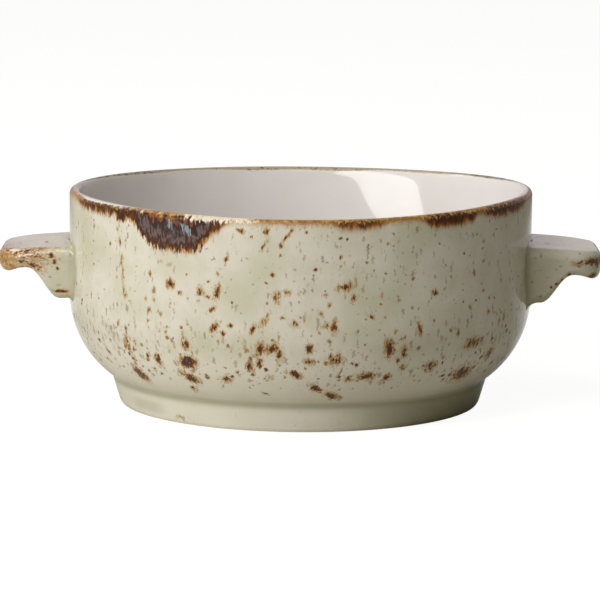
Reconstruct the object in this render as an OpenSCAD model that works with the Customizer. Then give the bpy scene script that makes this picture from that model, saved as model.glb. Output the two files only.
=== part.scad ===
// Lug soup bowl: a roller-formed bowl on a foot ring, with two pressed lugs stuck on with slip.
// It is glazed white inside and mottled green outside, with a brown edge on the rim.
// Lengths are in millimetres and angles in degrees. Sizes are those of the finished ware, over the glaze.
// The bowl stands on z = 0, its axis is Z, and the lugs lie along X.

/* [Bowl] */
// Diameter of the rim
rim_d = 125; // [110:0.5:140]
// Height from the table to the crest of the rim
bowl_h = 57.5; // [52:0.5:75]
// Thickness of the rounded lip
lip_t = 3; // [2.4:0.1:4]
// How far the belly stands out beyond the rim, on a foot that leaves room for it
belly_out = 0.2; // [0:0.1:4]
// Height of the belly's widest place
belly_z = 30; // [26:0.5:34]
// Thickness of the wall at the belly, from which it thins to the lip
wall_t = 7; // [4:0.1:8]
// Thickness of the floor
floor_t = 5; // [3.5:0.1:7]

/* [Foot ring] */
// Diameter at which the belly runs into the foot ring
crease_d = 102.6; // [90:0.2:116]
// Least width by which the belly stands out beyond that, at each side
crease_step_w = 9; // [7:0.5:11]
// Height at which the belly runs into the foot ring
crease_z = 8.2; // [6.5:0.1:11]
// Radius of the hollow crease between belly and foot ring
crease_r = 1.4; // [0.8:0.1:2.5]
// How far the foot ring draws in from the crease to the table, at each side
foot_taper_w = 1.8; // [0.5:0.1:4]
// Width of the foot ring
foot_w = 7; // [5.5:0.1:12]
// Radius of the foot ring's outer edge
foot_edge_r = 2.3; // [1:0.1:2.8]
// Radius of the foot ring's inner edge
foot_inner_edge_r = 1.6; // [1:0.1:2.2]
// Height of the hollow under the base
recess_h = 5; // [3.5:0.1:6.5]
// Radius of the corner inside that hollow
recess_corner_r = 2; // [1:0.1:3]

/* [Glaze] */
// Thickness of each coat of glaze
glaze_t = 0.4; // [0.2:0.05:0.6]
// Depth of the brown edge below the round of the lip, outside
outer_band_h = 0.9; // [0.4:0.1:4]
// Depth of the brown edge below the round of the lip, inside
inner_band_h = 0.4; // [0.2:0.1:3]

/* [Lugs] */
// Width of the bowl from one lug's tip to the other's
lug_span = 163; // [156:0.5:175]
// Width of a lug at its root
lug_root_w = 34; // [28:0.5:40]
// Width of a lug near its tip
lug_tip_w = 33; // [24:0.5:38]
// Radius of the tip's corners, seen from above
lug_corner_r = 11; // [5:0.5:12]
// Height of a lug's top at its root
lug_top_z = 43.7; // [40:0.1:46]
// Fall of a lug's top from root to tip
lug_drop_h = 1.1; // [0:0.1:2]
// Height of a lug's root against the wall
lug_root_h = 13.9; // [11:0.1:16]
// Thickness of a lug where fingers grip it
lug_grip_t = 5.8; // [5:0.1:8]
// Thickness of the bead under a lug's tip
lug_tip_t = 7.2; // [5:0.1:8]
// Length of that bead, back from the tip
lug_bead_l = 6; // [3:0.5:7]
// How far the bottom of the root stands out from the wall
bracket_toe_l = 2.4; // [1:0.1:4]
// How far out from the wall the underside reaches the grip
bracket_reach_l = 10; // [7:0.5:12]
// Radius of a lug's upper edge
lug_top_edge_r = 1.8; // [1:0.1:2.3]
// Radius of a lug's lower edge
lug_under_edge_r = 2.4; // [1:0.1:2.6]
// How much narrower each side of the root is at its bottom
lug_draft_w = 0.8; // [0:0.1:2]

/* [Slip joints] */
// Thickness of the slip between a lug and the wall
slip_t = 0.5; // [0.3:0.1:1]
// Radius of the slip's fillet round a lug's root
slip_fillet_r = 1.8; // [1:0.1:3]

/* [Hidden] */

clay_colour = "#d8cdb8";
slip_colour = "#c9bda6";
white_colour = "#e4ded6";
green_colour = "#c3bd9f";
brown_colour = "#6e4319";

// Steps of the curves
turned_facets = 180;
arc_step_angle = 5;
edge_step_angle = 30;
side_count = 16;
corner_step_angle = 15;
section_count = 14;

// Angles round an edge at which a coat of glaze stops, from the level outward direction
foot_glaze_angle = -45;
inner_glaze_angle = 225;
// Angles of the fillet between which the slip follows its curve
slip_wall_angle = 68;
slip_lug_angle = 25;
slip_angle_count = 4;

// Centres and radii of the outside, from the foot up to the lip
foot_r = crease_d / 2 - foot_taper_w;
belly_r = max(rim_d / 2 + belly_out, crease_d / 2 + crease_step_w);
lip_r = lip_t / 2;
lip_c = [rim_d / 2 - lip_r, bowl_h - lip_r];
belly_in = belly_r - crease_d / 2;
belly_drop = belly_z - crease_z;
curve_r = (belly_in * belly_in + belly_drop * belly_drop) / (2 * belly_in);
belly_c = [belly_r - curve_r, belly_z];
foot_edge_c = [foot_r - foot_edge_r, foot_edge_r - glaze_t];
foot_lean = atan2(foot_taper_w, crease_z - foot_edge_c.y);
foot_out = [cos(foot_lean), -sin(foot_lean)];
foot_up = [sin(foot_lean), cos(foot_lean)];
crease_start = foot_edge_c + (foot_edge_r + crease_r) * foot_out - belly_c;
crease_along = crease_start * foot_up;
crease_reach = curve_r + crease_r;
crease_climb = -crease_along
  - sqrt(crease_along * crease_along - crease_start * crease_start + crease_reach * crease_reach);
crease_c = belly_c + crease_start + crease_climb * foot_up;
wall_turn = heading(lip_c - belly_c) - acos((curve_r - lip_r) / norm(lip_c - belly_c));
wall_out = [cos(wall_turn), sin(wall_turn)];

// Centres and radii of the inside, from the lip down to the floor
floor_z = recess_h + floor_t;
inside_r = belly_z - floor_z;
inside_c = [belly_r - wall_t - inside_r, belly_z];
inside_turn = 360 + heading(inside_c - lip_c) - acos((inside_r + lip_r) / norm(inside_c - lip_c));
inside_out = [cos(inside_turn), sin(inside_turn)];

// Centres of the hollow under the base
hollow_r = foot_r - foot_w;
inner_edge_c = [hollow_r + foot_inner_edge_r, foot_inner_edge_r - glaze_t];
hollow_corner_c = [hollow_r - recess_corner_r, recess_h - recess_corner_r];

// Places along a lug
lug_reach = lug_span / 2;
lug_root_x = belly_r - wall_t;
lug_corner_x = lug_reach - lug_corner_r;
lug_corner_y = lug_tip_w / 2 - lug_corner_r;
corner_count = ceil(90 / corner_step_angle);
plan_count = side_count + corner_count + 1;

function heading(v) = atan2(v.y, v.x);
function ease(u) = let (k = min(1, max(0, u))) k * k * (3 - 2 * k);
function reversed(list) = [for (i = [len(list) - 1:-1:0]) list[i]];
function arc_points(c, r, from, to, step = arc_step_angle) =
  let (count = ceil(abs(to - from) / step))
  [for (i = [0:count]) c + r * [cos(from + (to - from) * i / count), sin(from + (to - from) * i / count)]];

// Outside of the bowl, t under the finished surface: foot, crease and belly, up to the wall
function outside_curve(t, foot_from) = concat(
  arc_points(foot_edge_c, foot_edge_r - t, foot_from, -foot_lean),
  arc_points(crease_c, crease_r + t, 180 - foot_lean, heading(belly_c - crease_c)),
  arc_points(belly_c, curve_r - t, heading(crease_c - belly_c), wall_turn)
);
function lip_curve(t) = arc_points(lip_c, lip_r - t, wall_turn, inside_turn);
function inside_curve(t) = arc_points(inside_c, inside_r + t, inside_turn - 180, -90);
function hollow_curve(t, edge_to) = concat(
  reversed(arc_points(hollow_corner_c, recess_corner_r + t, 0, 90)),
  arc_points(inner_edge_c, foot_inner_edge_r - t, 180, edge_to)
);

// Ends of the brown edge on the wall, t under the finished surface
function band_outside(t) =
  let (high = lip_c + lip_r * wall_out, low = belly_c + curve_r * wall_out)
  high + (low - high) * outer_band_h / norm(low - high) - t * wall_out;
function band_inside(t) =
  let (high = lip_c + lip_r * inside_out, low = inside_c - inside_r * inside_out)
  high + (low - high) * inner_band_h / norm(low - high) - t * inside_out;

// Radius of the finished wall at height z
function wall_radius(z) =
  let (low = belly_c + curve_r * wall_out, high = lip_c + lip_r * wall_out)
  z < low.y
    ? belly_c.x + sqrt(curve_r * curve_r - (z - belly_z) * (z - belly_z))
    : low.x + (high.x - low.x) * (z - low.y) / (high.y - low.y);

// Top and thickness of a lug at distance x from the axis
function lug_top(x) = lug_top_z - lug_drop_h * (x - belly_r) / (lug_reach - belly_r);
function lug_thickness(x) =
  lug_root_h
  + (lug_grip_t - lug_root_h) * ease((x - belly_r - bracket_toe_l) / (bracket_reach_l - bracket_toe_l))
  + (lug_tip_t - lug_grip_t) * ease((x - lug_reach + lug_bead_l) / lug_bead_l);

// Half of a lug's outline seen from above, from root to tip, drawn in by inset
function lug_side_y(x) =
  (lug_root_w + (lug_tip_w - lug_root_w) * ease((x - belly_r) / (lug_corner_x - belly_r))) / 2;
function lug_plan(i, inset) =
  i < side_count
    ? let (x = lug_root_x + (lug_corner_x - lug_root_x) * i / side_count) [x, lug_side_y(x) - inset]
    : let (a = 90 * (1 - (i - side_count) / corner_count))
      [lug_corner_x, lug_corner_y] + (lug_corner_r - inset) * [cos(a), sin(a)];

// Point of a lug at place i of its outline and angle a round its edges, t under the finished surface
function lug_point(i, a, t, upper) =
  let (
    x = lug_plan(i, 0).x,
    draft = upper ? 0 : lug_draft_w * lug_thickness(x) / lug_root_h,
    r = upper ? lug_top_edge_r : lug_under_edge_r,
    plan = lug_plan(i, draft + r - (r - t) * cos(a)),
    top = lug_top(plan.x)
  )
  [plan.x, plan.y, (upper ? top - r : top - lug_thickness(plan.x) + r) + (r - t) * sin(a)];
function lug_ring(a, t, upper) = concat(
  [for (i = [0:plan_count - 1]) lug_point(i, a, t, upper)],
  [for (i = [plan_count - 1:-1:0]) let (p = lug_point(i, a, t, upper)) [p.x, -p.y, p.z]]
);

// Root section of a lug in Y and Z, grown by g: over the top from right to left, then back below
function root_section(g) =
  let (
    low = lug_top_z - lug_root_h,
    top_c = [lug_root_w / 2 - lug_top_edge_r, lug_top_z - lug_top_edge_r],
    low_c = [lug_root_w / 2 - lug_draft_w - lug_under_edge_r, low + lug_under_edge_r],
    top_r = lug_top_edge_r + g,
    low_r = lug_under_edge_r + g
  )
  concat(
    arc_points(top_c, top_r, 0, 90, edge_step_angle),
    [for (i = [1:section_count - 1]) [top_c.x * (1 - 2 * i / section_count), lug_top_z + g]],
    arc_points([-top_c.x, top_c.y], top_r, 90, 180, edge_step_angle),
    arc_points([-low_c.x, low_c.y], low_r, 180, 270, edge_step_angle),
    [for (i = [1:section_count - 1]) [low_c.x * (2 * i / section_count - 1), low - g]],
    arc_points(low_c, low_r, 270, 360, edge_step_angle)
  );
function on_wall(section, out) =
  [for (p = section) let (rho = wall_radius(p.y) + out) [sqrt(rho * rho - p.x * p.x), p.x, p.y]];

// Triangles between rings of n points, each ring closed on itself
function band_faces(rings, n) =
  [for (k = [0:rings - 2]) for (i = [0:n - 1]) for (half = [0, 1])
    let (a = k * n + i, b = k * n + (i + 1) % n, c = a + n, d = b + n)
    half == 0 ? [a, d, b] : [a, c, d]];
// Triangles that close a ring of n points across its mirror line, from point first on
function cap_faces(first, n) =
  [for (i = [0:n / 2 - 2]) for (half = [0, 1])
    let (a = first + i, b = a + 1, c = first + n - 2 - i, d = c + 1)
    half == 0 ? [a, c, d] : [a, b, c]];
function flipped(faces) = [for (f = faces) [f[2], f[1], f[0]]];

module turned(outline) {
  rotate_extrude($fn = turned_facets) polygon(outline);
}

module coat(outer, inner) {
  turned(concat(outer, reversed(inner)));
}

// Everything inside the outer surface, t under the finished one
module outer_solid(t) {
  turned(concat(outside_curve(t, -90), lip_curve(t), [[0, lip_c.y], [0, foot_edge_c.y - foot_edge_r + t]]));
}

// Whole form of the right lug, from inside the wall to its tip
module lug_form(t) {
  rings = concat(
    [for (a = [90:-edge_step_angle:0]) lug_ring(a, t, true)],
    [for (a = [0:-edge_step_angle:-90]) lug_ring(a, t, false)]
  );
  n = 2 * plan_count;
  last = (len(rings) - 1) * n;
  polyhedron(
    points = [for (ring = rings) each ring],
    faces = concat(cap_faces(0, n), band_faces(len(rings), n), flipped(cap_faces(last, n)))
  );
}

// Slip of the right lug: its root section, flared to the wall by a hollow fillet
module slip_form(t) {
  angles = [for (i = [0:slip_angle_count])
    slip_wall_angle + (slip_lug_angle - slip_wall_angle) * i / slip_angle_count];
  foot_grow = slip_fillet_r - (slip_fillet_r + t) * cos(slip_wall_angle);
  rings = concat(
    [on_wall(root_section(foot_grow), -wall_t / 2)],
    [for (a = angles)
      on_wall(
        root_section(slip_fillet_r - (slip_fillet_r + t) * cos(a)),
        slip_fillet_r - (slip_fillet_r + t) * sin(a)
      )]
  );
  n = len(rings[0]);
  last = (len(rings) - 1) * n;
  polyhedron(
    points = [for (ring = rings) each ring],
    faces = concat(cap_faces(0, n), band_faces(len(rings), n), flipped(cap_faces(last, n)))
  );
}
module lug_clay() {
  difference() {
    lug_form(glaze_t);
    outer_solid(glaze_t - slip_t);
  }
}

module lug_slip() {
  difference() {
    slip_form(glaze_t);
    lug_clay();
    outer_solid(glaze_t);
  }
}

module lug_glaze() {
  difference() {
    union() {
      lug_form(0);
      slip_form(0);
    }
    lug_form(glaze_t);
    slip_form(glaze_t);
    outer_solid(glaze_t);
  }
}

module on_left() {
  mirror([1, 0, 0]) children();
}

module bowl_body() {
  color(clay_colour)
    turned(concat(
      outside_curve(glaze_t, -90),
      lip_curve(glaze_t),
      inside_curve(glaze_t),
      [[0, floor_z - glaze_t], [0, recess_h + glaze_t]],
      hollow_curve(glaze_t, 270)
    ));
}

module right_lug() {
  color(clay_colour) lug_clay();
}

module left_lug() {
  color(clay_colour) on_left() lug_clay();
}

module right_lug_slip() {
  color(slip_colour) lug_slip();
}

module left_lug_slip() {
  color(slip_colour) on_left() lug_slip();
}

module inside_glaze() {
  color(white_colour)
    coat(
      concat([band_inside(0)], inside_curve(0), [[0, floor_z]]),
      concat([band_inside(glaze_t)], inside_curve(glaze_t), [[0, floor_z - glaze_t]])
    );
}

module outside_glaze() {
  color(green_colour)
    difference() {
      coat(
        concat(outside_curve(0, foot_glaze_angle), [band_outside(0)]),
        concat(outside_curve(glaze_t, foot_glaze_angle), [band_outside(glaze_t)])
      );
      slip_form(0);
      on_left() slip_form(0);
    }
}

module rim_glaze() {
  color(brown_colour)
    coat(
      concat([band_outside(0)], lip_curve(0), [band_inside(0)]),
      concat([band_outside(glaze_t)], lip_curve(glaze_t), [band_inside(glaze_t)])
    );
}

module base_glaze() {
  color(green_colour)
    coat(
      concat([[0, recess_h]], hollow_curve(0, inner_glaze_angle)),
      concat([[0, recess_h + glaze_t]], hollow_curve(glaze_t, inner_glaze_angle))
    );
}

module right_lug_glaze() {
  color(green_colour) lug_glaze();
}

module left_lug_glaze() {
  color(green_colour) on_left() lug_glaze();
}

bowl_body();
left_lug();
right_lug();
left_lug_slip();
right_lug_slip();
inside_glaze();
outside_glaze();
rim_glaze();
base_glaze();
left_lug_glaze();
right_lug_glaze();
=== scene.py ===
from functools import partial
from math import acos, atan, atan2, cos, degrees, pi, radians, sin, sqrt

import bpy
import numpy as np
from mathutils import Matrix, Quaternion, Vector


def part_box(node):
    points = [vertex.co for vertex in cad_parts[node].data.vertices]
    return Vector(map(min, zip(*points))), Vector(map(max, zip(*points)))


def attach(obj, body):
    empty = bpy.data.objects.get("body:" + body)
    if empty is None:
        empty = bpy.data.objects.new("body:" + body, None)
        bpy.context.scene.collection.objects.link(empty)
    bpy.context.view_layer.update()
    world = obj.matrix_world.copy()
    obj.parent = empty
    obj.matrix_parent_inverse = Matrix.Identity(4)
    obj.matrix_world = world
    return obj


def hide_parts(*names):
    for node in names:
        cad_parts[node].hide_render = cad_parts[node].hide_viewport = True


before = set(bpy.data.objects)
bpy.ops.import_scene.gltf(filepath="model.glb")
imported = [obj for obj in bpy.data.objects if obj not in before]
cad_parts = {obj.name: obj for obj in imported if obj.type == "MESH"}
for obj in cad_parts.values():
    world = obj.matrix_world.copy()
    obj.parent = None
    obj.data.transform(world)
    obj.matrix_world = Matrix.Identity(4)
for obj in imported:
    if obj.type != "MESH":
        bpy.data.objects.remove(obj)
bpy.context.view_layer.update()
print("frame loaded,", len(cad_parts), "nodes")

# all shapes are worked out in millimetres and put into the meshes in metres
mm = 0.001
tiny = 1e-6
scene = bpy.context.scene
rng = np.random.default_rng(15)

rimLow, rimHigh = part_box("rim_glaze")
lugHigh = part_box("right_lug_glaze")[1]

# sizes of the finished bowl in mm, over the glaze; angles in degrees
bowl = {
    "rimRadius": (rimHigh.x - rimLow.x) / 2 / mm,
    "height": rimHigh.z / mm,
    "lipRadius": 1.5,
    "bellyOut": 0.2,
    "bellyHeight": 30.0,
    "wallThickness": 7.0,
    "floorHeight": 10.0,
    "creaseRadius": 51.05,
    "creaseHeight": 7.9,
    "creaseRound": 1.1,
    "footTaper": 1.8,
    "footWidth": 7.0,
    "footEdge": 2.3,
    "footInnerEdge": 1.6,
    "hollowHeight": 5.0,
    "hollowCorner": 2.0,
    "glaze": 0.4,
    "outerBand": 0.9,
    "innerBand": 0.4,
    "glazeLine": 45.0,
}
glaze = bowl["glaze"]


def heading(v):
    return degrees(atan2(v[1], v[0]))


def toward(angle):
    return np.array([cos(radians(angle)), sin(radians(angle))])


# points of a circular arc: centre plus radius times the cosine and sine of an even run of angles
def arc(centre, radius, start, stop, step=3.0):
    angles = np.radians(np.linspace(start, stop, max(3, int(abs(stop - start) / step) + 1)))
    return np.asarray(centre) + radius * np.stack([np.cos(angles), np.sin(angles)], 1)


# way along a line at each of its points: the sum of the steps so far
def wayAlong(line):
    return np.concatenate([[0], np.cumsum(np.linalg.norm(np.diff(line, axis=0), axis=1))])


# the same line drawn with count points at even steps of its length, or closer at its start with a
# lead over 1
def evenly(points, count, lead=1.0):
    length = wayAlong(points)
    at = length[-1] * np.linspace(0, 1, count) ** lead
    return np.stack([np.interp(at, length, points[:, k]) for k in range(2)], 1)


# eased step: k k (3 - 2 k), where k goes from nought to one
def ease(u):
    k = np.clip(u, 0, 1)
    return k * k * (3 - 2 * k)


# eased ramp: nought up to its start and one from a run further on, or lower with a run under nought
def ramp(value, start, run):
    return ease((value - start) / run)


# hump: one at its middle, falling with the exponential of minus a power of the gap over its half width
def hump(value, middle, half, power=4):
    return np.exp(-((value - middle) / half) ** power)


# swell round the bowl: the fourth power of the cosine of half the gap in degrees
def swell(turn, middle):
    return np.cos(np.radians(turn - middle) / 2) ** 4


# sum of terms: each is a size times its factors, and a factor is a function of one measure
def sumOf(terms, at):
    total = 0
    for size, *factors in terms:
        for shape, measure, *numbers in factors:
            size = size * shape(at[measure], *numbers)
        total = total + size
    return total


# centres and turning angles of the section, as in the part's source
lipC = np.array([bowl["rimRadius"] - bowl["lipRadius"], bowl["height"] - bowl["lipRadius"]])
bellyRadius = bowl["rimRadius"] + bowl["bellyOut"]
bellyIn = bellyRadius - bowl["creaseRadius"]
bellyDrop = bowl["bellyHeight"] - bowl["creaseHeight"]
curveRadius = (bellyIn ** 2 + bellyDrop ** 2) / (2 * bellyIn)
bellyC = np.array([bellyRadius - curveRadius, bowl["bellyHeight"]])
footRadius = bowl["creaseRadius"] - bowl["footTaper"]
footEdgeC = np.array([footRadius - bowl["footEdge"], bowl["footEdge"] - glaze])
footLean = degrees(atan2(bowl["footTaper"], bowl["creaseHeight"] - footEdgeC[1]))
footOut = toward(-footLean)
footUp = np.array([-footOut[1], footOut[0]])
creaseStart = footEdgeC + (bowl["footEdge"] + bowl["creaseRound"]) * footOut - bellyC
creaseAlong = creaseStart @ footUp
creaseReach = curveRadius + bowl["creaseRound"]
creaseClimb = -creaseAlong - sqrt(creaseAlong ** 2 - creaseStart @ creaseStart + creaseReach ** 2)
creaseC = bellyC + creaseStart + creaseClimb * footUp
wallSpan = lipC - bellyC
wallTurn = heading(wallSpan) - degrees(
    acos((curveRadius - bowl["lipRadius"]) / np.linalg.norm(wallSpan)))
wallOut = toward(wallTurn)
insideRadius = bowl["bellyHeight"] - bowl["floorHeight"]
insideC = np.array([bellyRadius - bowl["wallThickness"] - insideRadius, bowl["bellyHeight"]])
insideSpan = insideC - lipC
insideTurn = 360 + heading(insideSpan) - degrees(
    acos((insideRadius + bowl["lipRadius"]) / np.linalg.norm(insideSpan)))
# the inside wall leans out towards the lip, most of all just under it: its depth in mm, slopes, and the
# parts of the depth over which they die away; the round of the lip ends where its slope is the wall's
inside = {"around": 360, "down": 130, "clayDown": 60, "lead": 1.6, "depth": 46.0, "lean": 0.09,
          "straighten": 0.2, "turnIn": 4.5, "lipLean": 0.13, "lipPart": 0.018, "slopeEnd": 0.42,
          "slopeFade": 0.14, "backFrom": 0.5}
lipStop = insideTurn - degrees(atan(inside["lean"] + inside["lipLean"]))
lipOut = toward(lipStop)
hollowRadius = footRadius - bowl["footWidth"]
innerEdgeC = np.array([hollowRadius + bowl["footInnerEdge"], bowl["footInnerEdge"] - glaze])
hollowCornerC = np.array([hollowRadius - bowl["hollowCorner"], bowl["hollowHeight"] - bowl["hollowCorner"]])


# section of the outside, inset under the finished surface: foot edge, crease and belly, going up
def outsideCurve(inset, start, step=3.0):
    return np.concatenate([
        arc(footEdgeC, bowl["footEdge"] - inset, start, -footLean, step),
        arc(creaseC, bowl["creaseRound"] + inset, 180 - footLean, heading(bellyC - creaseC), step),
        arc(bellyC, curveRadius - inset, heading(creaseC - bellyC), wallTurn, step),
    ])


def lipCurve(inset):
    return arc(lipC, bowl["lipRadius"] - inset, wallTurn, lipStop)


def insideCurve(inset):
    return arc(insideC, insideRadius + inset, insideTurn - 180, -90)


def hollowCurve(inset, stop):
    corner = arc(hollowCornerC, bowl["hollowCorner"] + inset, 90, 0)
    return np.concatenate([corner, arc(innerEdgeC, bowl["footInnerEdge"] - inset, 180, stop)])


# ends of the brown edge: a step down the wall from the round of the lip, outside and inside
def bandOutside(inset):
    high = lipC + bowl["lipRadius"] * wallOut
    down = bellyC + curveRadius * wallOut - high
    return high + down * bowl["outerBand"] / np.linalg.norm(down) - inset * wallOut


def bandInside(inset):
    down = np.array([-lipOut[1], lipOut[0]])
    return lipC + (bowl["lipRadius"] - inset) * lipOut + down * bowl["innerBand"]


# how the bowl moved in the kiln: lobes round the axis that grow from the lugs up to the rim; number of
# lobes, size in mm and phase in degrees
kiln = {
    "from": 36.0,
    "lift": [(0, 0.39, 0), (1, 0.44, 56), (2, 0.68, 0), (3, 0.14, 35)],
    "spread": [(2, 0.10, 20), (4, 0.06, 70)],
}


# sum of lobes at each azimuth: size times the cosine of the number of lobes times the azimuth
def lobeSum(turn, lobes):
    return sum(size * np.cos(number * turn + radians(phase)) for number, size, phase in lobes)


def warped(points):
    grow = ease((points[:, 2] - kiln["from"]) / (bowl["height"] - kiln["from"]))
    turn = np.arctan2(points[:, 1], points[:, 0])
    radius = np.maximum(np.hypot(points[:, 0], points[:, 1]), tiny)
    out = points.copy()
    out[:, :2] *= (1 + grow * lobeSum(turn, kiln["spread"]) / radius)[:, None]
    out[:, 2] += grow * lobeSum(turn, kiln["lift"])
    return out


def evenTurns(count):
    return np.linspace(0, 2 * pi, count, endpoint=False)


# a profile of radius and height turned round the axis: points are (r cos a, r sin a, z) on a grid of
# angle by place on the profile; a profile that ends on the axis is closed there with one point
def turned(profile, angles, closed):
    around = len(angles)
    onAxis = profile[:, 0] < tiny
    body = profile[~onAxis]
    count = len(body)
    flat = np.stack([np.cos(angles), np.sin(angles)], 1)
    ring = flat[:, None, :] * body[None, :, :1]
    height = np.broadcast_to(body[None, :, 1:], (around, count, 1))
    points = np.concatenate([ring, height], 2).reshape(-1, 3)
    index = np.arange(around * count).reshape(around, count)
    nextRow = np.roll(index, -1, axis=0)
    here = np.arange(count if closed else count - 1)
    after = (here + 1) % count
    quads = np.stack([index[:, here], nextRow[:, here], nextRow[:, after], index[:, after]], -1)
    faces = quads.reshape(-1, 4).tolist()
    for place in np.flatnonzero(onAxis):
        pole = len(points)
        points = np.vstack([points, [0, 0, profile[place, 1]]])
        edge = 0 if place == 0 else -1
        fan = [index[:, edge], nextRow[:, edge], np.full(around, pole)]
        fan = fan if edge == -1 else [fan[1], fan[0], fan[2]]
        faces += np.stack(fan, 1).tolist()
    return points, faces


sharpAngle = 50  # degrees between faces from which an edge is drawn sharp


def addPiece(name, points, faces, fields, material, node):
    mesh = bpy.data.meshes.new(name)
    mesh.from_pydata((warped(points) * mm).tolist(), [], faces)
    for field, values in fields.items():
        kind, item = ("FLOAT_VECTOR", "vector") if np.ndim(values) == 2 else ("FLOAT", "value")
        data = mesh.attributes.new(field, kind, "POINT").data
        data.foreach_set(item, np.ravel(values).astype(np.float32))
    mesh.polygons.foreach_set("use_smooth", np.ones(len(faces), bool))
    mesh.set_sharp_from_angle(angle=radians(sharpAngle))
    mesh.materials.append(material)
    piece = bpy.data.objects.new(name, mesh)
    scene.collection.objects.link(piece)
    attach(piece, "root")
    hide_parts(node)


# sRGB hex to the linear colour that a shader takes
def linear(colour):
    parts = np.array([int(colour[k:k + 2], 16) for k in (1, 3, 5)]) / 255
    light = np.where(parts <= 0.04045, parts / 12.92, ((parts + 0.055) / 1.055) ** 2.4)
    return (*light, 1.0)


# adds a node: settings by name; links holds a value, a socket or a node for each input, where a node
# stands for its first output in use; stops holds the places and colours of a ramp
def addNode(tree, kind, links=None, stops=None, **settings):
    node = tree.nodes.new("ShaderNode" + kind)
    for name, value in settings.items():
        setattr(node, name, value)
    for place, value in (links or {}).items():
        if isinstance(value, bpy.types.Node):
            value = next(socket for socket in value.outputs if socket.enabled)
        if isinstance(value, bpy.types.NodeSocket):
            tree.links.new(value, node.inputs[place])
        else:
            node.inputs[place].default_value = value
    if stops:
        elements = node.color_ramp.elements
        while len(elements) < len(stops):
            elements.new(1)
        for element, (at, colour) in zip(elements, stops):
            element.position = at
            element.color = linear(colour)
    return node


def newMaterial(name):
    material = bpy.data.materials.new(name)
    material.use_nodes = True
    material.node_tree.nodes.clear()
    return material, partial(addNode, material.node_tree)


# pattern scale for a texture whose features are size mm across
def perSize(size):
    return 1 / (size * mm)


# Reactive stoneware glaze, sprayed over a white slip and fired: pale green glass with iron that
# breaks through as rusty spots and streaks and gathers brown along the rim; sizes in mm
reactive = {
    "clouds": [(0.34, "#c8c5ac"), (0.46, "#d1ccb9"), (0.56, "#dad4c5"), (0.70, "#cfcab6")],
    "mottle": "#b3a27a",
    # pale: lighter glaze, also used as painted light on the foot and lower belly and a painted highlight on
    # the lip
    "pale": "#e3decf",
    # pool: green pooled glaze, also used as painted shade in the crease, round the lugs and over the right
    # foot
    "poolAndShade": "#85855a",
    "halo": "#ac8e53",
    "specks": [(0.0, "#a08d52"), (0.3, "#9f7537"), (0.6, "#945722"), (0.85, "#66401b")],
    "fineSpecks": [(0.0, "#a98d4c"), (0.4, "#9a7436"), (0.7, "#8a5722"), (0.9, "#613c17")],
    "spot": [(0.0, "#c6aa74"), (0.08, "#b88a49"), (0.18, "#9a5b21"), (0.32, "#6f3a14"),
             (0.48, "#482510"), (0.64, "#402a24"), (0.82, "#6a5c5a")],
    "brown": [(0.0, "#b8944f"), (0.12, "#9a6a2a"), (0.3, "#865a24"), (0.7, "#ac8645")],
    "burn": [(0.0, "#b28447"), (0.05, "#8d5822"), (0.12, "#5a3313"), (0.24, "#3a1d0e"),
             (0.36, "#4e3126"), (0.5, "#6c5c5a"), (0.64, "#45302c"), (0.76, "#331a0e"),
             (0.9, "#2e170c"), (1.0, "#7a451b")],
    # crest: grey and tan over the lip, up to cream where the lip is painted pale as a highlight
    "crest": [(0.0, "#4a443c"), (0.12, "#857b6a"), (0.22, "#aea18b"), (0.42, "#b8a98f"),
              (0.5, "#835724"), (0.625, "#b08544"), (0.745, "#c7a15c"), (0.91, "#ecdcc4")],
    "crystal": [(0.4, "#4c423f"), (0.5, "#68747c"), (0.64, "#8e9ca4")],
    "liner": "#e5dfd7",
    "linerThin": "#7d7a7b",
    # textures: what they follow, size, detail and distortion
    "noise": {
        "clouds": ("place", 17.0, 4.0, 0.0),
        "streaks": ("flow", 1.25, 3.0, 0.0),
        "strands": ("drawn", 0.5, 2.0, 0.7),
        "shreds": ("shorter", 0.62, 2.0, 0.9),
        "grain": ("place", 0.9, 2.0, 0.0),
        "ripple": ("place", 9.0, 1.0, 0.0),
    },
    "stretch": {"drawn": (1, 1, 0.55), "shorter": (1, 1, 1.1)},
    # dots and flecks: what they follow, size, largest part of a cell, rareness, strength, colours
    "dots": [("flow", 1.15, 0.72, 1.8, 0.5, "fineSpecks"), ("place", 1.7, 0.55, 2.6, 1.0, "specks"),
             ("flow", 2.5, 0.40, 2.6, 1.0, "specks")],
    "dotBend": 1.3,
    "dotEdge": 0.2,
    # how far a texture tears an outline in and out
    "tear": {"streaks": 0.30, "strands": 0.6, "shreds": 0.48},
    "tearRange": {"From Min": 0.3, "From Max": 0.7},
    # the brown edge where it is thin and where it is burnt
    "edge": {"reach": (0.13, 0.38), "stir": (0.2, 0.6), "crisp": (0.55, 1.0)},
    "edgeRange": {"From Min": 0.9, "From Max": 2.0},
    "deepest": 2.0,
    # marks: where they begin and are full, strength and kind of rise
    "marks": {
        "mottle": (0.42, 0.76, 0.5, "SMOOTHSTEP"),
        "halo": (-0.55, 0.45, 0.85, "SMOOTHSTEP"),
        "spot": (0.0, 0.62, 1.0, "SMOOTHSTEP"),
        "brown": (-0.14, 0.16, 1.0, "SMOOTHSTEP"),
        "burn": (0.2, 0.7, 1.0, "LINEAR"),
        "crest": (0.1, 0.6, 1.0, "LINEAR"),
        "crystal": (0.3, 0.5, 1.0, "LINEAR"),
        "liner": (0.35, 0.65, 1.0, "LINEAR"),
    },
    "spotTint": 0.52,
    "crestTint": (0.75, 0.25),
    "bump": 0.15,
    "bumpDepth": 0.8,
    "refraction": 1.52,
    # the open glaze, and the burnt edge, which is drier
    "finish": {"Roughness": (0.11, 0.3), "Specular IOR Level": (0.5, 0.18)},
}


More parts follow.
